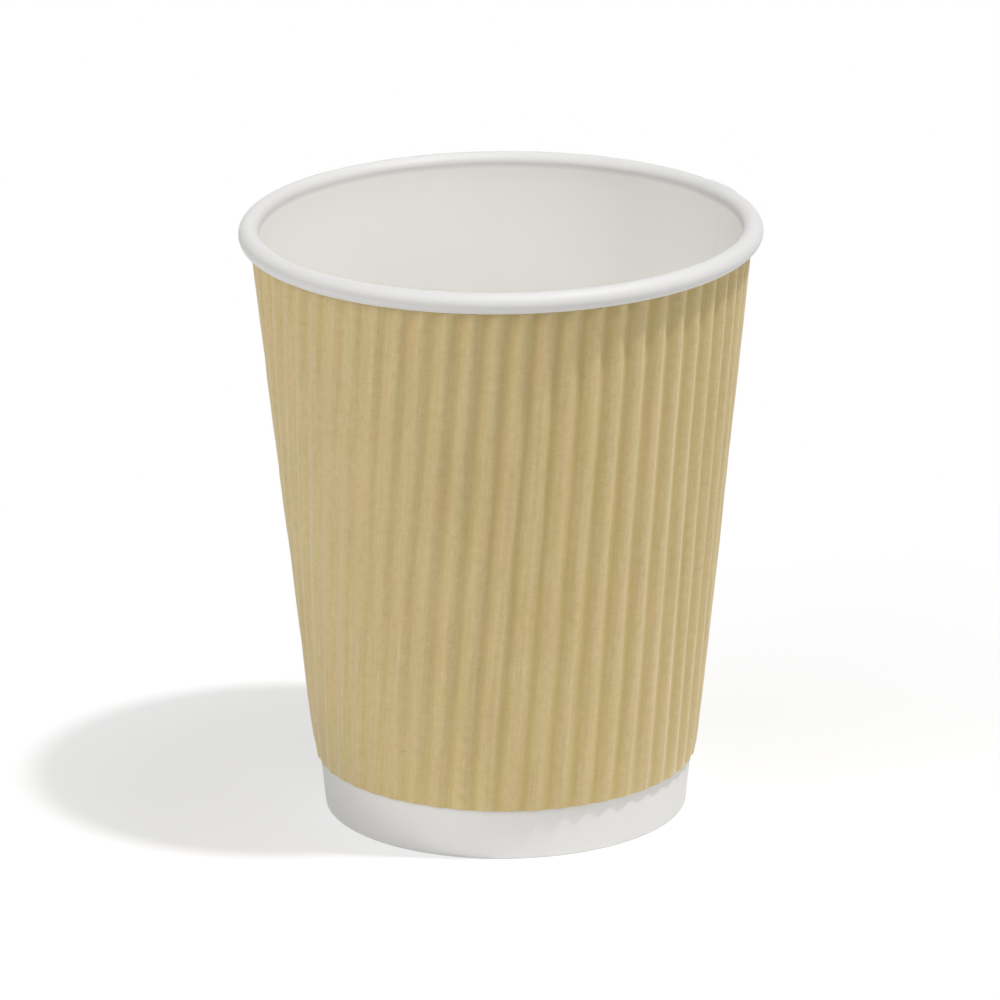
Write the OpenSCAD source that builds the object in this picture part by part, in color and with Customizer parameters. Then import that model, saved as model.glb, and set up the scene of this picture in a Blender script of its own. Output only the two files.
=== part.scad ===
// A disposable hot-drink cup of coated white paperboard with a corrugated kraft sleeve glued round it.
// Three pieces: the side wall with its rolled rim and folded foot, the floor disc that the foot grips,
// and the sleeve. The axis is Z, the table is Z = 0, and the front of the cup is -Y.

/* [Cup] */
// Height from the table to the top of the rim
cup_h = 93.5; // [80:0.5:120]
// Diameter over the rolled rim
rim_od = 80; // [74:0.5:92]
// Diameter of the foot where it meets the table
base_od = 56; // [48:0.5:62]
// Thickness of the wall's paperboard
wall_t = 0.33; // [0.25:0.01:0.42]

/* [Rolled rim] */
// Diameter of the roll's section
curl_d = 3.2; // [2.6:0.1:4]
// Slit between the wall and the turned-in end of the roll
curl_slit = 0.08; // [0.05:0.01:0.15]
// Angle that the cut end turns on inside the roll
curl_tuck = 150; // [100:5:200]

/* [Side seam of the wall] */
// Direction of the seam, counted from +X towards +Y
seam_at = 25; // [0:5:355]
// Width of the lap where the two ends of the wall's blank overlap
seam_lap = 6; // [4:0.5:9]
// Height of the pressed lap above the wall's outer face
lap_out = 0.1; // [0.05:0.01:0.12]
// Height of the pressed lap above the wall's inner face
lap_in = 0.15; // [0.08:0.01:0.25]

/* [Foot] */
// Height of the turned-in strip that grips the floor disc's skirt
fold_h = 6.2; // [4:0.1:6.4]
// Radius of the foot's two corners at the table
foot_round = 0.3; // [0.15:0.01:0.35]
// Glue line on each side of the floor disc's skirt
glue_gap = 0.03; // [0.02:0.01:0.06]

/* [Floor disc] */
// Height of the cup's floor above the table
floor_z = 7.4; // [7:0.1:10]
// Thickness of the disc's paperboard
disc_t = 0.3; // [0.22:0.01:0.38]
// Outer radius of the bend between the disc and its skirt
disc_bend = 0.8; // [0.5:0.05:0.9]
// Space between the skirt's cut edge and the fold below it
skirt_gap = 0.3; // [0.1:0.05:1]

/* [Ripple sleeve] */
// Height of the sleeve's lower edge above the table
sleeve_z = 8.3; // [6:0.1:20]
// Thickness of the kraft paper
sleeve_t = 0.22; // [0.16:0.01:0.28]
// Distance from one flute to the next, measured across the flutes on the flat blank
flute_pitch = 3.85; // [3.6:0.05:6]
// Depth of the flutes at the sleeve's upper edge, paper included
flute_top = 1.2; // [0.8:0.05:1.4]
// Depth of the flutes at the sleeve's lower edge, where the wrap is pulled tighter
flute_low = 0.8; // [0.5:0.05:1.2]
// Sideways place of the first flute on the blank
flute_shift = -0.4; // [-2:0.1:2]
// Gap between the wall and the bottoms of the flutes
sleeve_gap = 0.15; // [0.13:0.01:0.25]
// Gap between the sleeve's upper edge and the rolled rim
rim_gap = 0.2; // [0.1:0.05:1]
// Direction of the middle of the blank, where the flutes stand upright
blank_at = -45; // [-180:5:180]
// Width of the sleeve's glued lap
sleeve_lap = 5; // [3:0.5:8]
// Gap between the two layers in the lap
lap_gap = 0.12; // [0.1:0.01:0.2]
// Width over which the flutes flatten out towards the lap
flatten_w = 6; // [4:0.5:10]

/* [Hidden] */
board_white = [0.93, 0.93, 0.91];
kraft_brown = [0.76, 0.67, 0.47];
turn_fn = 180;   // sides of a full turn about the cup's axis
bend_step = 12;  // degrees of bend between two points of a section
bond = wall_t / 2;   // depth to which the lap's strips are sunk into the wall

// The side wall leans so that its outer face starts at the foot and its inner face runs
// tangent into the rolled rim's circle.
base_r = base_od / 2;
curl_r = curl_d / 2;
curl_c = [rim_od / 2 - curl_r, cup_h - curl_r];
foot_to_curl = curl_c - [base_r, 0];
lean = acos((curl_r - wall_t) / norm(foot_to_curl)) - atan2(foot_to_curl.y, foot_to_curl.x);
out_dir = [cos(lean), -sin(lean)];

// A point of the section at height z, that lies d inside the wall's outer face
function in_wall(z, d) = [base_r + z * tan(lean) - d / cos(lean), z];

// The tucked end of the roll turns on a smaller circle that touches the first one at the bottom.
tuck_r = curl_r - wall_t - curl_slit;
tuck_c = curl_c - [0, curl_r - tuck_r];

// The layers of the foot, counted inwards from the wall's outer face
skirt_d = wall_t + glue_gap;
foot_w = 2 * skirt_d + disc_t;
skirt_end = wall_t + skirt_gap;
seam_deg = seam_lap / in_wall(cup_h, wall_t).x * 180 / PI;

// Points of an arc round c, from angle a1 to angle a2
function arc(c, r, a1, a2) = let (n = max(2, ceil(abs(a2 - a1) / bend_step)))
    [for (i = [0:n]) let (a = a1 + (a2 - a1) * i / n) c + r * [cos(a), sin(a)]];

// Section of the wall as one strip of board: from the top of the fold down round the foot, up the
// outer face, over the roll to its tucked end, and back along the strip's other side.
module wall_section() {
    outer_c = in_wall(foot_round, foot_round);
    inner_c = in_wall(foot_round, foot_w - foot_round);
    polygon(concat(
        [in_wall(fold_h, foot_w)],
        arc(inner_c, foot_round, 180 - lean, 270),
        arc(outer_c, foot_round, 270, 360 - lean),
        arc(curl_c, curl_r - wall_t, 180 - lean, -90),
        arc(tuck_c, tuck_r - wall_t, -90, -90 - curl_tuck),
        arc(tuck_c, tuck_r, -90 - curl_tuck, -90),
        arc(curl_c, curl_r, -90, 180 - lean),
        [in_wall(wall_t, wall_t), in_wall(wall_t, foot_w - wall_t), in_wall(fold_h, foot_w - wall_t)]));
}

// A straight strip of the wall, between two heights and two depths
module wall_strip(z1, z2, d1, d2) {
    polygon([in_wall(z1, d1), in_wall(z2, d1), in_wall(z2, d2), in_wall(z1, d2)]);
}

// What the second layer of board adds in the lap of the side seam: outside below the roll, inside
// above the floor and over the roll, and on the turned-in strip of the foot.
module lap_section() {
    wall_strip(foot_round, curl_c.y - curl_r, -lap_out, bond);
    polygon(concat(
        [in_wall(floor_z + lap_in, wall_t + lap_in)],
        arc(curl_c, curl_r + lap_in, 180 - lean, -90),
        arc(curl_c, curl_r - bond, -90, 180 - lean),
        [in_wall(floor_z + lap_in, bond)]));
    wall_strip(skirt_end, fold_h, foot_w - bond, foot_w + lap_in);
}

module cup_wall() {
    color(board_white) union() {
        rotate_extrude($fn = turn_fn) wall_section();
        rotate([0, 0, seam_at - seam_deg / 2])
            rotate_extrude(angle = seam_deg, $fn = turn_fn) lap_section();
    }
}

// Half section of the floor disc: flat from the axis, bent down into the skirt
module disc_section() {
    bend_c = in_wall(floor_z - disc_bend, skirt_d + disc_bend);
    polygon(concat(
        [[0, floor_z - disc_t], [0, floor_z]],
        arc(bend_c, disc_bend, 90, -lean),
        [in_wall(skirt_end, skirt_d), in_wall(skirt_end, skirt_d + disc_t)],
        arc(bend_c, disc_bend - disc_t, -lean, 90)));
}

module bottom_disc() {
    color(board_white) rotate_extrude($fn = turn_fn) disc_section();
}

// The sleeve is laid out as its flat blank, a sector of a ring whose flutes are parallel lines, and
// wrapped on the cone. x is the distance across the flutes from the blank's middle, s the distance
// from the point of the fan, and psi the angle there.
columns_per_flute = 6;
spans = 7;
corner_cut = 0.5;
sleeve_top = cup_h - curl_d - rim_gap;
mid_low = in_wall(sleeve_z, -sleeve_gap - flute_low / 2);
mid_top = in_wall(sleeve_top, -sleeve_gap - flute_top / 2);
slant = norm(mid_top - mid_low);
sin_cone = (mid_top.x - mid_low.x) / slant;
s_low = mid_low.x / sin_cone;
s_top = s_low + slant;
lap_turn = sleeve_lap / mid_low.x * 180 / PI;
psi_end = (180 + lap_turn / 2) * sin_cone;
column_step = flute_pitch / columns_per_flute;
columns = floor((s_top * sin(psi_end) - corner_cut) / column_step);

function ease(t) = let (u = min(max(t, 0), 1)) u * u * (3 - 2 * u);
function first_s(x) = max(s_low, abs(x) / sin(psi_end));

// A point of the sleeve: face 0 is the inner face of the paper, face 1 the outer
function sleeve_point(x, s, face) = let (
    psi = asin(x / s),
    up = (s - s_low) / slant,
    z = sleeve_z + (sleeve_top - sleeve_z) * up,
    to_edge = (psi_end - abs(psi)) * PI / 180 * s,
    open = ease((to_edge - sleeve_lap) / flatten_w),
    depth = flute_low + (flute_top - flute_low) * up - sleeve_t,
    wave = depth * open * (1 + cos(360 * (x - flute_shift) / flute_pitch)) / 2,
    lift = x > 0 ? (sleeve_t + lap_gap) * (1 - ease((to_edge - sleeve_lap) / flatten_w)) : 0,
    r = in_wall(z, -sleeve_gap).x + wave + lift + face * sleeve_t,
    turn = blank_at + psi / sin_cone)
    [r * cos(turn), r * sin(turn), z];

module ripple_sleeve() {
    rows = spans + 1;
    n = 2 * columns + 1;
    points = [for (face = [0, 1], i = [-columns:columns], j = [0:spans]) let (
        x = i * column_step, s1 = first_s(x))
        sleeve_point(x, s1 + (s_top - s1) * j / spans, face)];
    function at(face, i, j) = (face * n + i) * rows + j;
    outer = [for (i = [0:n - 2], j = [0:spans - 1])
        [at(1, i, j), at(1, i, j + 1), at(1, i + 1, j + 1), at(1, i + 1, j)]];
    inner = [for (i = [0:n - 2], j = [0:spans - 1])
        [at(0, i, j), at(0, i + 1, j), at(0, i + 1, j + 1), at(0, i, j + 1)]];
    low_edge = [for (i = [0:n - 2]) [at(0, i, 0), at(1, i, 0), at(1, i + 1, 0), at(0, i + 1, 0)]];
    top_edge = [for (i = [0:n - 2])
        [at(0, i, spans), at(0, i + 1, spans), at(1, i + 1, spans), at(1, i, spans)]];
    first_end = [for (j = [0:spans - 1]) [at(0, 0, j), at(0, 0, j + 1), at(1, 0, j + 1), at(1, 0, j)]];
    last_end = [for (j = [0:spans - 1])
        [at(0, n - 1, j), at(1, n - 1, j), at(1, n - 1, j + 1), at(0, n - 1, j + 1)]];
    color(kraft_brown)
        polyhedron(points, concat(outer, inner, low_edge, top_edge, first_end, last_end), convexity = 10);
}

cup_wall();
bottom_disc();
ripple_sleeve();
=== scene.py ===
import math

import bpy
import numpy as np
from mathutils import Matrix, Vector


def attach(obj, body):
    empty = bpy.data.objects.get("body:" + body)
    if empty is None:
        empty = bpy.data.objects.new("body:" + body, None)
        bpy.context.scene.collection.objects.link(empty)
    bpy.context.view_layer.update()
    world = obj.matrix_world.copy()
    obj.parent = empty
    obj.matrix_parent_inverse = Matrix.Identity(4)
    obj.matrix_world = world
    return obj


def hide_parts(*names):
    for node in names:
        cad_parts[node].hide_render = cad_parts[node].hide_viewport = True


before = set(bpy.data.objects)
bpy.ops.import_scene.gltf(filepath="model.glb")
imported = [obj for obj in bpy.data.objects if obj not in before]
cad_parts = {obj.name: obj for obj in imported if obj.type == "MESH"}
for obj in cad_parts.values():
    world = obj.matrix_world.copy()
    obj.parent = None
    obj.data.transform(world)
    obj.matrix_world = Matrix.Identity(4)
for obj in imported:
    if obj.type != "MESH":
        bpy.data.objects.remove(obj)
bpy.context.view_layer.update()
mm = 0.001  # sizes below are in millimetres, Blender's in metres
mergeWithin = 0.001 * mm  # points closer than this are one point
print("frame loaded:", sorted(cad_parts))

# Mesh helpers


def startAlone():
    if bpy.context.object and bpy.context.object.mode != "OBJECT":
        bpy.ops.object.mode_set(mode="OBJECT")
    bpy.ops.object.select_all(action="DESELECT")


def pickAlone(piece):
    startAlone()
    piece.select_set(True)
    bpy.context.view_layer.objects.active = piece


def takeNew(name):
    # the primitive that was just added, under its own name
    piece = bpy.context.object
    piece.name = piece.data.name = name
    return piece


def readPoints(mesh):
    points = np.empty(len(mesh.vertices) * 3)
    mesh.vertices.foreach_get("co", points)
    return points.reshape(-1, 3)


def writePoints(mesh, points):
    mesh.vertices.foreach_set("co", np.asarray(points, float).ravel())
    mesh.update()


def ease(t):
    t = np.clip(t, 0, 1)
    return t * t * (3 - 2 * t)


def storeValues(piece, name, values):
    # one number for each point, which the materials read
    stored = piece.data.attributes.new(name, "FLOAT", "POINT")
    stored.data.foreach_set("value", np.asarray(values, np.float32))


def line(a, b, steps):
    a, b = np.array(a), np.array(b)
    return [a + (b - a) * i / steps for i in range(steps + 1)]


def arc(centre, radius, start, end, stepDeg):
    count = max(2, math.ceil(abs(end - start) / stepDeg))
    angles = [math.radians(start + (end - start) * i / count) for i in range(count + 1)]
    return [np.array(centre) + radius * np.array((math.cos(a), math.sin(a))) for a in angles]


def ringGrid(name, section, steps):
    # a flat grid to be bent round the cup's axis one way and round the closed section the other way;
    # gives each point's angle, and its place along the section
    startAlone()
    bpy.ops.mesh.primitive_grid_add(x_subdivisions=steps, y_subdivisions=len(section), size=2)
    piece = takeNew(name)
    square = (readPoints(piece.data)[:, :2] + 1) / 2
    turn = np.round(square[:, 0] * steps) * 2 * math.pi / steps
    along = np.round(square[:, 1] * len(section)).astype(int) % len(section)
    return piece, turn, along


def closeGrid(piece):
    # the bent grid's four edges meet in pairs and are merged
    pickAlone(piece)
    bpy.ops.object.mode_set(mode="EDIT")
    bpy.ops.mesh.select_all(action="DESELECT")
    bpy.ops.mesh.select_non_manifold()
    bpy.ops.mesh.remove_doubles(threshold=mergeWithin / 10)
    bpy.ops.object.mode_set(mode="OBJECT")


def spinSection(name, section, steps):
    # an open half section from the axis out and back, spun round the cup's axis
    startAlone()
    bpy.ops.mesh.primitive_circle_add(vertices=len(section), radius=1)
    piece = takeNew(name)
    flat = np.array(section) * mm
    writePoints(piece.data, np.column_stack([flat[:, 0], np.zeros(len(flat)), flat[:, 1]]))
    # the edge that closes the loop along the axis goes, so that the poles merge to one point each
    for edge in piece.data.edges:
        edge.select = set(edge.vertices) == {0, len(section) - 1}
    for point in piece.data.vertices:
        point.select = False
    bpy.ops.object.mode_set(mode="EDIT")
    bpy.ops.mesh.delete(type="EDGE_FACE")
    bpy.ops.mesh.select_all(action="SELECT")
    bpy.ops.mesh.spin(steps=steps, angle=2 * math.pi, center=(0, 0, 0), axis=(0, 0, 1))
    bpy.ops.mesh.select_all(action="SELECT")
    bpy.ops.mesh.remove_doubles(threshold=mergeWithin)
    bpy.ops.mesh.normals_make_consistent(inside=False)
    bpy.ops.object.mode_set(mode="OBJECT")
    return piece


def smooth(piece, angleDeg):
    pickAlone(piece)
    bpy.ops.object.shade_smooth_by_angle(angle=math.radians(angleDeg))


# Shader helpers: a Wire is one output of a node, and arithmetic on it adds Math nodes


class Wire:
    def __init__(self, paint, socket):
        self.paint = paint
        self.socket = socket

    def math(self, operation, *values):
        return self.paint.node("ShaderNodeMath", {"operation": operation}, dict(enumerate(values)))

    def __add__(self, other):
        return self.math("ADD", self, other)

    __radd__ = __add__

    def __mul__(self, other):
        return self.math("MULTIPLY", self, other)

    __rmul__ = __mul__

    def __sub__(self, other):
        return self.math("SUBTRACT", self, other)

    def __rsub__(self, other):
        return self.math("SUBTRACT", other, self)


class Paint:
    def __init__(self, owner):
        # owner is the material, or the world, that the nodes are for
        self.owner = owner
        owner.use_nodes = True
        self.tree = owner.node_tree
        self.tree.nodes.clear()

    def node(self, kind, settings=None, values=None, output=0):
        # the one way to add a node: settings first, then each input's value or link
        made = self.tree.nodes.new(kind)
        for key, value in (settings or {}).items():
            setattr(made, key, value)
        for key, value in (values or {}).items():
            socket = made.inputs[key]
            if isinstance(value, Wire):
                self.tree.links.new(value.socket, socket)
            else:
                socket.default_value = value
        return Wire(self, made.outputs[output]) if made.outputs else None

    def mixColour(self, factor, low, high, blend="MIX"):
        return self.node("ShaderNodeMix", {"data_type": "RGBA", "blend_type": blend},
                         {0: factor, 6: low, 7: high}, output=2)

    def noise(self, place, scale, detail=3, roughness=0.5, distortion=0):
        return self.node("ShaderNodeTexNoise", None, {
            "Vector": place, "Scale": scale, "Detail": detail,
            "Roughness": roughness, "Distortion": distortion})

    def remap(self, value, low, high, newLow=0, newHigh=1):
        return self.node("ShaderNodeMapRange", {"clamp": True}, {
            "Value": value, "From Min": low, "From Max": high, "To Min": newLow, "To Max": newHigh})

    def stretched(self, place, turnDeg, scale):
        return self.node("ShaderNodeMapping", None, {
            "Vector": place, "Rotation": (0, 0, math.radians(turnDeg)), "Scale": scale})

    def output(self, shader, kind="ShaderNodeOutputMaterial"):
        self.node(kind, None, {"Surface": shader})
        return self.owner

    def paper(self, tone, rough, height, bump, gloss, sheen=(0, 0.5)):
        strength, rise = bump
        normal = self.node("ShaderNodeBump", None, {
            "Height": height, "Strength": strength, "Distance": rise * mm})
        return self.output(self.node("ShaderNodeBsdfPrincipled", None, {
            "Base Color": tone, "Roughness": rough, "Normal": normal, "Specular IOR Level": gloss,
            "Sheen Weight": sheen[0], "Sheen Roughness": sheen[1]}))


def newPaint(name):
    return Paint(bpy.data.materials.new(name))


def grey(value):
    return (value, value, value, 1)


# The camera stands where the photograph's did and looks at the cup through a longer lens

view = dict(
    place=(-46.3, -1292.8, 474.0),  # from the centre of the cup's foot
    target=(-0.5, 0, 48.6),
    sensorWidth=36.0,
    lens=318.0,
    rollDeg=-0.54,
    nearest=0.05,  # metres, and so is farthest
    farthest=20,
)


def addCamera():
    data = bpy.data.cameras.new("photoCamera")
    data.sensor_width = view["sensorWidth"]
    data.lens = view["lens"]
    data.clip_start = view["nearest"]
    data.clip_end = view["farthest"]
    camera = bpy.data.objects.new("photoCamera", data)
    bpy.context.scene.collection.objects.link(camera)
    place = Vector(view["place"]) * mm
    aim = (Vector(view["target"]) * mm - place).to_track_quat("-Z", "Y").to_matrix()
    roll = Matrix.Rotation(math.radians(view["rollDeg"]), 3, "Z")
    camera.matrix_world = Matrix.Translation(place) @ (aim @ roll).to_4x4()
    bpy.context.scene.camera = camera


addCamera()

# White cup: the wall with its rolled rim and folded foot

cup = dict(
    height=93.5,
    rimWidth=80.0,
    footWidth=56.0,
    board=0.33,
    rollSize=3.2,
    rollSlit=0.08,
    rollTuck=150.0,
    foldHeight=6.2,
    footRound=0.3,
    glueLine=0.03,
    seamAt=25.0,
    seamLap=6.0,
    lapOut=0.1,
    lapIn=0.15,
    seamRamp=2.5,  # how far the board takes to climb over the other layer's cut edge
    seamGroove=0.12,
    seamGrooveDeg=0.45,  # half the groove's width, in degrees round the axis
    lapFade=2.0,  # the lap rises out of the foot over this height
    lapFadeInside=0.5,  # and out of the floor over this one
    knurls=120,  # ribs that the crimping wheel leaves on the turned-in strip
    knurlDepth=0.09,
    knurlLow=0.9,
    knurlHigh=5.7,
    knurlFade=0.5,
    oval=(0.10, 0.6),  # how far the rim is from round, and where it is widest, in radians
    threeSided=(0.35, -1.1),  # the share of a three-sided form in that, and its place
    turnSteps=600,
    bendStep=16,  # degrees of bend from point to point
    rollStep=8,  # the same on the roll's outside, which shows
    tuckSteps=(25, 18),
    faceSteps=(16, 20, 24, 6, 2),  # along the flap, the outer face, the inner face, the slot's sides
)
disc = dict(
    top=7.4,
    board=0.3,
    bend=0.8,
    skirtGap=0.3,
    sag=0.25,
    flatShort=0.5,  # the flat part ends this far before the bend
    turnSteps=240,
    flatSteps=(18, 12),
    bendSteps=(12, 15),
)
smoothUpTo = 38  # degrees between the board's faces that still shade as one

footR = cup["footWidth"] / 2
rollR = cup["rollSize"] / 2
rollC = np.array((cup["rimWidth"] / 2 - rollR, cup["height"] - rollR))
toRoll = rollC - (footR, 0)
lean = math.acos((rollR - cup["board"]) / np.hypot(*toRoll)) - math.atan2(toRoll[1], toRoll[0])
leanDeg = math.degrees(lean)
outDir = np.array((math.cos(lean), -math.sin(lean)))
tuckR = rollR - cup["board"] - cup["rollSlit"]
tuckC = rollC - (0, rollR - tuckR)
skirtIn = cup["board"] + cup["glueLine"]
footThick = 2 * skirtIn + disc["board"]


def inWall(z, depth):
    # the section's point at height z, that lies depth inside the wall's outer face
    return np.array((footR + z * math.tan(lean) - depth / math.cos(lean), z))


def wallSection():
    # one strip of board: down the fold, round the foot, up the outer face, over the roll and back;
    # a straight run stops short of the next bend, so that no two points fall together
    board, fold, r = cup["board"], cup["foldHeight"], cup["footRound"]
    bend, rollBend = cup["bendStep"], cup["rollStep"]
    tuckStart, tuckEnd = -100, -90 - cup["rollTuck"]
    tuckInner, tuckOuter = cup["tuckSteps"]
    flap, outer, inner, slotDown, slotUp = cup["faceSteps"]
    runs = [
        ("flap", line(inWall(fold, footThick), inWall(r + 0.1, footThick), flap)),
        ("foot", arc(inWall(r, footThick - r), r, 180 - leanDeg, 270, bend)),
        ("foot", arc(inWall(r, r), r, 270, 360 - leanDeg, bend)),
        ("outer", line(inWall(r + 0.2, 0), rollC - (rollR - board) * outDir - (0, 0.4), outer)),
        ("inRoll", arc(rollC, rollR - board, 180 - leanDeg, -90, bend)),
        ("inRoll", arc(tuckC, tuckR - board, tuckStart, tuckEnd, tuckInner)),
        ("inRoll", arc(tuckC, tuckR, tuckEnd, tuckStart, tuckOuter)),
        ("roll", arc(rollC, rollR, -90, 180 - leanDeg, rollBend)),
        ("inner", line(rollC - rollR * outDir - (0, 0.8), inWall(disc["top"], board), inner)),
        ("slot", line(inWall(disc["top"] - 1, board), inWall(board, board), slotDown)),
        ("slot", line(inWall(board, footThick - board), inWall(fold, footThick - board), slotUp)),
    ]
    points = [p for _, run in runs for p in run]
    kinds = [kind for kind, run in runs for _ in run]
    return points, kinds


def lapSteps(turn):
    # how far the lap's two layers stand out, 0 to 1, for angles in degrees from the seam's middle
    half = cup["seamLap"] / 2 / (cup["rimWidth"] / 2) * 180 / math.pi
    ramp = cup["seamRamp"] / (cup["rimWidth"] / 2) * 180 / math.pi
    out = ease((turn + half + ramp) / ramp) * (turn < half)
    inside = ease((half + ramp - turn) / ramp) * (turn > -half)
    groove = np.exp(-((turn - half) / cup["seamGrooveDeg"]) ** 2)
    return out, inside, groove


def settle(points):
    # paper is never quite round: the whole cup is a touch oval, more so towards the rim
    (size, widest), (third, thirdAt) = cup["oval"], cup["threeSided"]
    turn = np.arctan2(points[:, 1], points[:, 0])
    share = points[:, 2] / (cup["height"] * mm)
    off = size * mm * share * (np.cos(2 * turn + widest) + third * np.cos(3 * turn + thirdAt))
    r = np.hypot(points[:, 0], points[:, 1])
    grow = 1 + off / np.maximum(r, 0.1 * mm) * (r > 20 * mm)  # the floor's middle stays
    return points * np.column_stack([grow, grow, np.ones_like(grow)])


def buildWall():
    section, kinds = wallSection()
    piece, turn, along = ringGrid("cupWall", section, cup["turnSteps"])
    r, z = (np.array(section) * mm)[along].T
    kind = np.array(kinds)[along]
    fromSeam = (np.degrees(turn) - cup["seamAt"] + 180) % 360 - 180
    out, inside, groove = lapSteps(fromSeam)
    moveR, moveZ = np.zeros_like(r), np.zeros_like(r)
    outer, inner = kind == "outer", kind == "inner"
    moveR[outer] += cup["lapOut"] * out[outer] * ease(z[outer] / mm / cup["lapFade"])
    overFloor = ease((z[inner] / mm - disc["top"]) / cup["lapFadeInside"])
    moveR[inner] -= cup["lapIn"] * inside[inner] * overFloor
    roll = kind == "roll"
    fromC = np.column_stack([r[roll] - rollC[0] * mm, z[roll] - rollC[1] * mm]) / (rollR * mm)
    lift = cup["lapIn"] * inside[roll] - cup["seamGroove"] * groove[roll]
    moveR[roll] += lift * fromC[:, 0]
    moveZ[roll] += lift * fromC[:, 1]
    flap = kind == "flap"
    height, fade = z[flap] / mm, cup["knurlFade"]
    ends = ease((height - cup["knurlLow"]) / fade) * ease((cup["knurlHigh"] - height) / fade)
    moveR[flap] += cup["knurlDepth"] * ends * 0.5 * (1 + np.cos(cup["knurls"] * turn[flap]))
    grown = r + moveR * mm
    points = np.column_stack([grown * np.cos(turn), grown * np.sin(turn), z + moveZ * mm])
    writePoints(piece.data, settle(points))
    # the blank's coated side lines the cup and shows again on the outside of the roll
    storeValues(piece, "coated", np.isin(kind, ("inner", "roll", "slot")))
    # painted light: the inner face is marked for a lighter, warmer tone than the roll's coated side
    storeValues(piece, "paintedLightLining", kind == "inner")
    closeGrid(piece)
    smooth(piece, smoothUpTo)
    return piece


def buildDisc():
    bend, board, top = disc["bend"], disc["board"], disc["top"]
    bendC = inWall(top - bend, skirtIn + bend)
    low = cup["board"] + disc["skirtGap"]
    flatR = bendC[0] - disc["flatShort"]
    (upSteps, underSteps), (outBend, inBend) = disc["flatSteps"], disc["bendSteps"]
    section = (
        line((0, top), (flatR, top), upSteps)
        + arc(bendC, bend, 90, -leanDeg, outBend)
        + line(inWall(low, skirtIn), inWall(low, skirtIn + board), 1)
        + arc(bendC, bend - board, -leanDeg, 90, inBend)
        + line((flatR, top - board), (0, top - board), underSteps)
    )
    piece = spinSection("bottomDisc", section, disc["turnSteps"])
    points = readPoints(piece.data)
    r = np.hypot(points[:, 0], points[:, 1]) / (bendC[0] * mm)
    points[:, 2] -= disc["sag"] * mm * (1 - ease(r)) * (r < 1)
    writePoints(piece.data, settle(points))
    # the floor's top is coated, and takes the inside's painted light too
    for name in ("coated", "paintedLightLining"):
        storeValues(piece, name, points[:, 2] > (top - board / 2) * mm)
    smooth(piece, smoothUpTo)
    return piece


cupWall = buildWall()
bottomDisc = buildDisc()
print("white cup:", len(cupWall.data.polygons), "and", len(bottomDisc.data.polygons), "faces")

# Kraft sleeve: a flat blank, a sector of a ring with parallel flutes, wrapped on the wall's cone

sleeve = dict(
    lowEdge=8.3,
    topGap=0.2,  # under the rolled rim
    paper=0.22,
    pitch=3.85,
    topDepth=1.23,
    lowDepth=0.83,
    sharp=0.45,  # the flutes' section, from a plain wave at 0 to a zigzag at 1
    shift=-0.4,
    # noise: how far it goes, how fast it changes across the flutes and along them, and its seed
    wander=(0.10, 0.11, 0.03, 3),
    tremble=(0.05, 0.4, 0.08, 7),
    unevenDepth=(0.10, 0.73, 0.02, 11),
    dents=(0.05, 0.5, 0.25, 19),
    cutWobble=(0.12, 0.045, 3.7, 5),  # the die's cut edge isn't quite true; the third is its place
    # how far the flutes in front drift across the blank, where, and over what width
    drift=(0.55, 16.0, 30.0),
    wallGap=0.12,
    blankAt=-45.0,
    lap=5.0,
    lapGap=0.12,
    flatten=6.0,
    cornerCut=0.5,  # taken off the blank's two sharp upper corners
    # share of the depth that handling took off, where, and over what width
    worn=(0.25, -62.0, 24.0),
    paintedShadeCutWhereWorn=0.8,  # share of the painted shade in the flutes' bottoms that is left out where they are worn flatter
    pressed=0.6,  # the cut lower edge is pressed flatter by the wrap
    pressedReach=2.5,
    columnsPerFlute=16,
    rows=36,
    smoothUpTo=50,
)


def bumps(a, b, seed, detail=3):
    # smooth noise about 0, the same on each run: random heights on a lattice, eased between, and
    # each finer layer is half as strong
    size = 256
    heights = np.random.default_rng(seed).uniform(-1, 1, (size, size))
    total, weight = np.zeros(len(a)), 1.0
    for _ in range(detail):
        i, j = np.floor(a).astype(int), np.floor(b).astype(int)
        u, v = ease(a - i), ease(b - j)
        i0, i1, j0, j1 = i % size, (i + 1) % size, j % size, (j + 1) % size
        low = heights[i0, j0] * (1 - u) + heights[i1, j0] * u
        high = heights[i0, j1] * (1 - u) + heights[i1, j1] * u
        total += weight * (low * (1 - v) + high * v)
        a, b, weight = a * 2 + 17.3, b * 2 + 5.1, weight / 2
    return total


def uneven(x, along, settings, detail=3):
    size, across, lengthwise, seed = settings
    return size * bumps(x * across, along * lengthwise, seed, detail)


def near(x, at, width):
    return np.exp(-((x - at) / width) ** 2)


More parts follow.
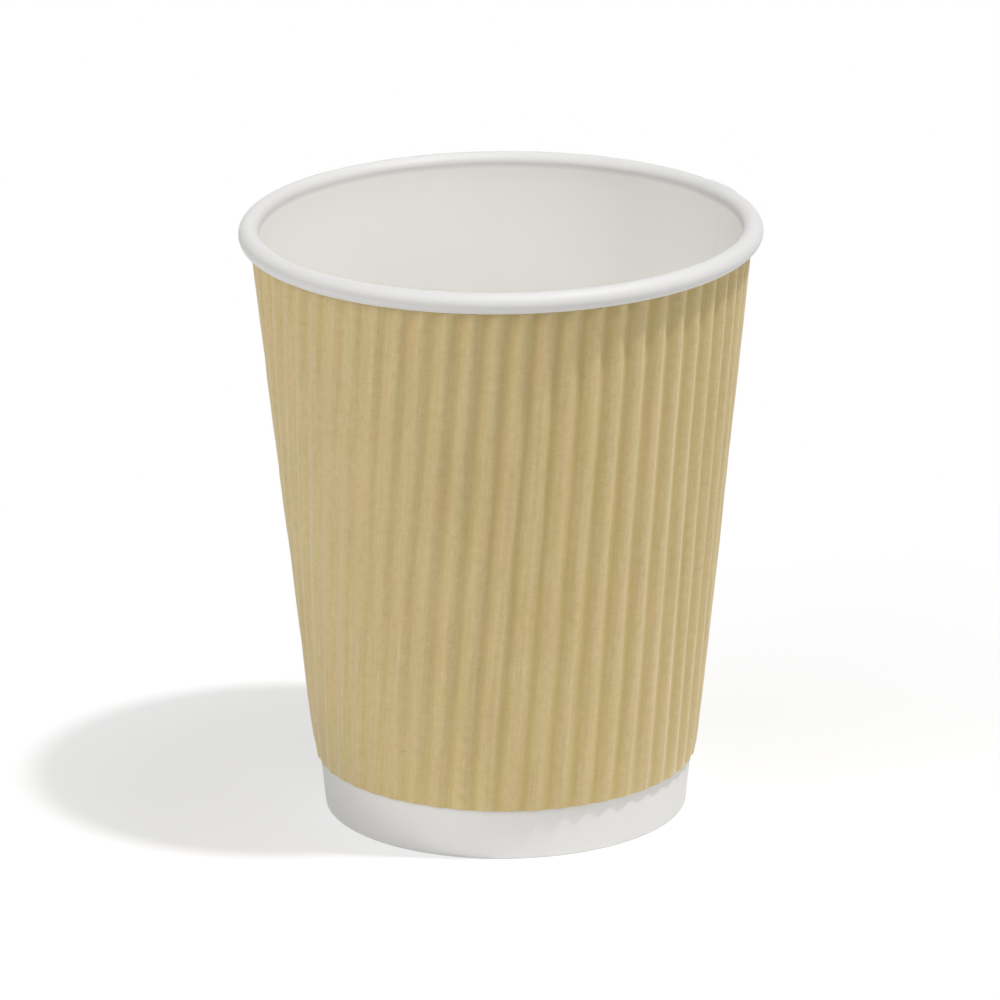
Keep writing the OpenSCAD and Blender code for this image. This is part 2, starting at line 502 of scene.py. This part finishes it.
def buildSleeve():
    s = sleeve
    lowZ, topZ = s["lowEdge"], cup["height"] - cup["rollSize"] - s["topGap"]
    midLow = inWall(lowZ, -s["wallGap"] - s["lowDepth"] / 2)
    midTop = inWall(topZ, -s["wallGap"] - s["topDepth"] / 2)
    slant = np.hypot(*(midTop - midLow))
    sinCone = (midTop[0] - midLow[0]) / slant
    sLow = midLow[0] / sinCone
    sTop = sLow + slant
    psiEnd = (math.pi + s["lap"] / midLow[0] / 2) * sinCone
    xEnd = sTop * math.sin(psiEnd) - s["cornerCut"]
    columns = int(2 * xEnd / s["pitch"] * s["columnsPerFlute"])

    startAlone()
    bpy.ops.mesh.primitive_grid_add(x_subdivisions=columns, y_subdivisions=s["rows"], size=2)
    piece = takeNew("rippleSleeve")
    square = readPoints(piece.data)
    x = square[:, 0] * xEnd
    firstS = np.maximum(sLow, np.abs(x) / math.sin(psiEnd))
    share = (square[:, 1] + 1) / 2
    along = firstS + (sTop - firstS) * share
    wobble, wobbleAcross, wobbleAt, wobbleSeed = s["cutWobble"]
    along += wobble * (1 - share) ** 4 * bumps(x * wobbleAcross, x * 0 + wobbleAt, wobbleSeed)
    psi = np.arcsin(x / along)
    up = (along - sLow) / slant
    toEdge = (psiEnd - np.abs(psi)) * along

    # each flute wanders a little and has its own depth
    flute = np.round((x - s["shift"]) / s["pitch"])
    wander = uneven(x, along, s["wander"]) + uneven(x, along, s["tremble"])
    drift, driftAt, driftWidth = s["drift"]
    wander += drift * near(x, driftAt, driftWidth)
    ownDepth = 1 + uneven(flute, along, s["unevenDepth"], 2)
    worn, wornAt, wornWidth = s["worn"]
    handled = near(x, wornAt, wornWidth)
    ownDepth *= 1 - worn * handled
    opening = ease((toEdge - s["lap"]) / s["flatten"])
    depth = (s["lowDepth"] + (s["topDepth"] - s["lowDepth"]) * up - s["paper"]) * ownDepth
    depth *= 1 - s["pressed"] * np.exp(-(along - firstS) / s["pressedReach"])
    wave = np.cos(2 * math.pi * (x - s["shift"] + wander) / s["pitch"])
    crest = opening * 0.5 * (1 + np.arcsin(s["sharp"] * wave) / math.asin(s["sharp"]))
    lift = (x > 0) * (s["paper"] + s["lapGap"]) * (1 - opening)
    dents = np.maximum(uneven(x, along, s["dents"]), 0)
    z = lowZ + (topZ - lowZ) * up
    wallR = footR + z * math.tan(lean)
    r = wallR + s["wallGap"] / math.cos(lean) + s["paper"] + depth * crest + lift + dents
    turn = math.radians(s["blankAt"]) + psi / sinCone
    points = np.column_stack([r * np.cos(turn), r * np.sin(turn), z]) * mm
    writePoints(piece.data, settle(points))

    # the flat blank's own millimetres are the UV map, so that the paper's grain lies as it was cut
    blank = piece.data.uv_layers[0]
    blank.name = "blank"
    corner = np.empty(len(piece.data.loops), np.int32)
    piece.data.loops.foreach_get("vertex_index", corner)
    flat = np.column_stack([x, np.sqrt(along**2 - x**2)])
    blank.data.foreach_set("uv", flat[corner].ravel())
    # painted shade in the flutes' bottoms, cut back where they are worn flatter; kept as the crest value
    # that the kraft material reads
    paintedShade = (1 - crest) * (1 - s["paintedShadeCutWhereWorn"] * handled)
    storeValues(piece, "crest", 1 - paintedShade)

    paper = piece.modifiers.new("paper", "SOLIDIFY")
    paper.thickness = s["paper"] * mm
    paper.offset = -1
    bpy.ops.object.modifier_apply(modifier=paper.name)
    smooth(piece, s["smoothUpTo"])
    return piece


rippleSleeve = buildSleeve()
print("sleeve:", len(rippleSleeve.data.polygons), "faces")

# Materials

kraft = dict(
    tone=(0.579, 0.447, 0.205, 1),
    dark=(0.434, 0.314, 0.115, 1),
    pale=(0.698, 0.566, 0.298, 1),
    fleck=(0.280, 0.180, 0.070, 1),
    warm=(0.632, 0.433, 0.208, 1),  # the pulp's colour isn't quite even
    cool=(0.538, 0.457, 0.174, 1),
    # painted shade: the darker, more saturated tone for the flutes' bottoms
    groove=(0.444, 0.317, 0.074, 1),
    paintedGrooveShade=0.46,  # how far the painted shade takes the flutes' bottoms towards the groove's tone
    toneShare=0.10,  # how far the whole is drawn to the plain tone
    rough=0.50,
    roughSpread=0.06,
    roughRange=(0.2, 0.8),
    gloss=0.5,
    sheen=(0.19, 0.5),  # weight and roughness
    bump=(0.4, 0.06),  # strength, and height in millimetres
    # noise: waves per millimetre, or per millimetre across and along the flutes, detail, roughness
    cloudsNoise=(0.06, 3, 0.5),
    mottleNoise=(0.7, 5, 0.62),
    grainNoise=(6.0, 3, 0.65),
    pulpNoise=(0.45, 0.07, 3, 0.6),
    streaksNoise=(1.7, 0.06, 4, 0.55),
    fineNoise=(5.5, 0.5, 3, 0.6),
    fibreNoise=(0.9, 4.6, 3, 0.6, 0.5),  # the last is how crooked the fibres are
    fleckNoise=(1.0, 2.6, 2, 0.5, 0.6),
    fibreTurns=(62, 84, 101, 127),  # degrees
    fleckTurn=20,
    # markings: the noise's value where they start, where they are full, and their strength
    mottleMark=(0.3, 0.7, 0.28),
    streaksMark=(0.34, 0.66, 0.26),
    fineMark=(0.34, 0.66, 0.20),
    grainMark=(0.34, 0.66, 0.26),
    warmMark=(0.52, 0.70, 0.5),
    coolMark=(0.48, 0.30, 0.5),
    paleFibres=(0.60, 0.78, 0.45),
    darkFibres=(0.40, 0.24, 0.40),
    fleckMark=(0.71, 0.78, 0.6),
    cloudsMark=(0.3, 0.7, 0.12),
    # how much each one stands up
    relief=dict(fibre=0.25, shade=0.15, grain=0.30, mottle=0.35, streaks=0.5),
)
board = dict(
    bare=(0.757, 0.750, 0.734, 1),
    coated=(0.690, 0.684, 0.673, 1),
    shade=(0.94, 0.935, 0.925, 1),  # what the paper's cloudiness takes off
    paintedLightLining=(0.885, 0.877, 0.842, 1),  # painted light: the coated side inside the cup, lighter and warmer than on the roll
    cloudiness=0.5,
    bareRough=0.62,
    coatedRough=0.50,
    roughSpread=(-0.05, 0.06),
    gloss=0.30,
    bump=(0.25, 0.03),
    # noise: waves per metre, detail and roughness
    cloudsNoise=(45, 4, 0.55),
    formationNoise=(420, 4, 0.6),
    fineNoise=(2600, 3, 0.55),
    noiseRange=(0.3, 0.7),
    cloudsShare=(0.6, 0.4),  # of the clouds and of the formation
    relief=(0.7, 0.3),  # of the formation and of the fine noise
)


def kraftPaper():
    paint = newPaint("kraftPaper")
    k = kraft
    blank = paint.node("ShaderNodeUVMap", {"uv_map": "blank"})
    # the crest attribute is 1 on the crests and falls where painted shade goes in the flutes' bottoms
    crest = paint.node("ShaderNodeAttribute", {"attribute_name": "crest"}, output=2)

    def drawn(name, turnDeg=0):
        across, along, *rest = k[name]
        return paint.noise(paint.stretched(blank, turnDeg, (across, along, 1)), 1, *rest)

    def marked(texture, name):
        start, full, strength = k[name]
        return paint.remap(texture, start, full) * strength

    clouds = paint.noise(blank, *k["cloudsNoise"])
    pulp = drawn("pulpNoise")
    mottle = paint.noise(blank, *k["mottleNoise"])
    streaks = drawn("streaksNoise")  # soft bands along the flutes, from the fluting rolls
    fine = drawn("fineNoise")
    # short fibres lie in all directions
    fibres = [drawn("fibreNoise", turn) for turn in k["fibreTurns"]]
    paleStart, paleFull, paleShare = k["paleFibres"]
    darkStart, darkFull, darkShare = k["darkFibres"]
    fibre = sum(paint.remap(one, paleStart, paleFull) for one in fibres)
    shade = sum(paint.remap(one, darkStart, darkFull) for one in fibres)
    grain = paint.noise(blank, *k["grainNoise"])
    flecks = drawn("fleckNoise", k["fleckTurn"])

    body = marked(mottle, "mottleMark") + marked(streaks, "streaksMark")
    body = body + marked(fine, "fineMark") + marked(grain, "grainMark")
    tone = paint.mixColour(body, k["dark"], k["pale"])
    tone = paint.mixColour(k["toneShare"], tone, k["tone"])
    tone = paint.mixColour(marked(pulp, "warmMark"), tone, k["warm"])
    tone = paint.mixColour(marked(pulp, "coolMark"), tone, k["cool"])
    tone = paint.mixColour(fibre * paleShare, tone, k["pale"])
    tone = paint.mixColour(shade * darkShare, tone, k["dark"])
    tone = paint.mixColour(marked(flecks, "fleckMark"), tone, k["fleck"])
    tone = paint.mixColour(marked(clouds, "cloudsMark"), tone, k["pale"])
    # painted shade: the bottoms of the flutes are darkened towards the groove's tone, less where they are
    # worn flatter
    low = 1 - crest
    tone = paint.mixColour(low * low * k["paintedGrooveShade"], tone, k["groove"])
    middle, off = k["rough"], k["roughSpread"]
    rough = paint.remap(mottle, *k["roughRange"], middle - off, middle + off)
    up = k["relief"]
    height = fibre * up["fibre"] - shade * up["shade"] + grain * up["grain"]
    height = height + mottle * up["mottle"] + streaks * up["streaks"]
    return paint.paper(tone, rough, height, k["bump"], k["gloss"], k["sheen"])


def coatedBoard(name):
    paint = newPaint(name)
    place = paint.node("ShaderNodeTexCoord", output=3)
    coated = paint.node("ShaderNodeAttribute", {"attribute_name": "coated"}, output=2)
    paintedLightLining = paint.node("ShaderNodeAttribute", {"attribute_name": "paintedLightLining"}, output=2)
    clouds, formation, fine = [paint.noise(place, *board[noise])
                               for noise in ("cloudsNoise", "formationNoise", "fineNoise")]
    start, full = board["noiseRange"]
    ofClouds, ofFormation = board["cloudsShare"]
    cloudy = paint.remap(clouds, start, full) * ofClouds
    cloudy = cloudy + paint.remap(formation, start, full) * ofFormation
    cloudy = paint.mixColour(cloudy, board["shade"], grey(1))
    tone = paint.mixColour(coated, board["bare"], board["coated"])
    tone = paint.mixColour(board["cloudiness"], tone, cloudy, "MULTIPLY")
    # painted light: the inside of the cup and the floor's top take a lighter, warmer tone
    tone = paint.mixColour(paintedLightLining, tone, board["paintedLightLining"])
    # the coated side shines, the bare side is matt
    rough = paint.remap(coated, 0, 1, board["bareRough"], board["coatedRough"])
    rough = rough + paint.remap(formation, start, full, *board["roughSpread"])
    ofFormation, ofFine = board["relief"]
    height = formation * ofFormation + fine * ofFine
    return paint.paper(tone, rough, height, board["bump"], board["gloss"])


def dress(piece, material, slot, *nodes):
    piece.data.materials.clear()
    piece.data.materials.append(material)
    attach(piece, "root")
    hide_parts(*nodes)


dress(cupWall, coatedBoard("coatedBoard"), "coated_board", "cup_wall")
dress(bottomDisc, coatedBoard("floorBoard"), "floor_board", "bottom_disc")
dress(rippleSleeve, kraftPaper(), "kraft_paper", "ripple_sleeve")
print("materials done")

# Studio: pale floor, a key lamp high on the right, soft boxes in front and at both sides

studio = dict(
    floorSize=4.0,
    floorTone=0.85,
    seenTone=0.95,  # at which the lit floor comes out as white as the backdrop
    shadowNear=0.40,  # how much of the floor's shading the camera sees beside the foot
    shadowStart=55.0,  # from the cup's axis; past shadowEnd the floor is plain white
    shadowEnd=170.0,
    mirrored=0.95,  # what gloss sees of the floor
    fill=0.045,  # the room's own light
    lampDistance=1.5,  # metres, and so is floorSize
)
# each lamp's degrees from the front towards +X, degrees above the floor, width in degrees, and strength
lamps = dict(
    keyLamp=(66, 68, 3.8, 0.775),
    leftBox=(-62, 35, 40, 0.198),
    frontLeft=(-36, 35, 40, 0.218),
    frontBox=(0, 35, 40, 0.050),
    rightBox=(70, 30, 40, 0.125),
    lowLeft=(-80, 8, 30, 0.055),
    lowRight=(90, 8, 30, 0.085),
)


def addFloor():
    startAlone()
    bpy.ops.mesh.primitive_circle_add(vertices=96, radius=studio["floorSize"] / 2, fill_type="NGON")
    floor = takeNew("studioFloor")
    paint = newPaint("studioFloor")
    toCamera = paint.node("ShaderNodeLightPath", output="Is Camera Ray")
    toGloss = paint.node("ShaderNodeLightPath", output="Is Glossy Ray")
    seen = paint.node("ShaderNodeBsdfDiffuse", None, {"Color": grey(studio["seenTone"])})
    glow = paint.node("ShaderNodeEmission", None, {"Color": grey(1), "Strength": 1})
    place = paint.node("ShaderNodeTexCoord", output=3)
    away = paint.node("ShaderNodeVectorMath", {"operation": "LENGTH"}, {0: place}, output=1)
    kept = paint.remap(away, studio["shadowStart"] * mm, studio["shadowEnd"] * mm, studio["shadowNear"], 0)
    shown = paint.node("ShaderNodeMixShader", None, {0: kept, 1: glow, 2: seen})
    plain = paint.node("ShaderNodeBsdfDiffuse", None, {"Color": grey(studio["floorTone"])})
    mirrored = paint.node("ShaderNodeEmission", None, {"Color": grey(1), "Strength": studio["mirrored"]})
    plain = paint.node("ShaderNodeMixShader", None, {0: toGloss, 1: plain, 2: mirrored})
    floor.data.materials.append(paint.output(
        paint.node("ShaderNodeMixShader", None, {0: toCamera, 1: plain, 2: shown})))


def addLights():
    for name, (side, height, width, strength) in lamps.items():
        side, height = math.radians(side), math.radians(height)
        towards = Vector((math.sin(side) * math.cos(height), -math.cos(side) * math.cos(height),
                          math.sin(height)))
        data = bpy.data.lights.new(name, "SUN")
        data.angle = math.radians(width)
        data.energy = strength * math.pi
        lamp = bpy.data.objects.new(name, data)
        bpy.context.scene.collection.objects.link(lamp)
        lamp.location = towards * studio["lampDistance"]
        lamp.rotation_mode = "QUATERNION"
        lamp.rotation_quaternion = (-towards).to_track_quat("-Z", "Y")


def addAir():
    # the camera, gloss and clear things see white, and the cup gets the fill alone
    world = bpy.data.worlds.new("studioAir")
    bpy.context.scene.world = world
    air = Paint(world)
    seen = air.node("ShaderNodeLightPath", output="Is Camera Ray")
    for kind in ("Is Glossy Ray", "Is Transmission Ray"):
        seen = seen.math("MAXIMUM", seen, air.node("ShaderNodeLightPath", output=kind))
    fill = air.node("ShaderNodeBackground", None, {"Color": grey(1), "Strength": studio["fill"]})
    white = air.node("ShaderNodeBackground", None, {"Color": grey(1), "Strength": 1})
    shown = air.node("ShaderNodeMixShader", None, {0: seen, 1: fill, 2: white})
    air.output(shown, "ShaderNodeOutputWorld")


addFloor()
addLights()
addAir()
bpy.context.scene.view_settings.view_transform = "Standard"
print("studio done")
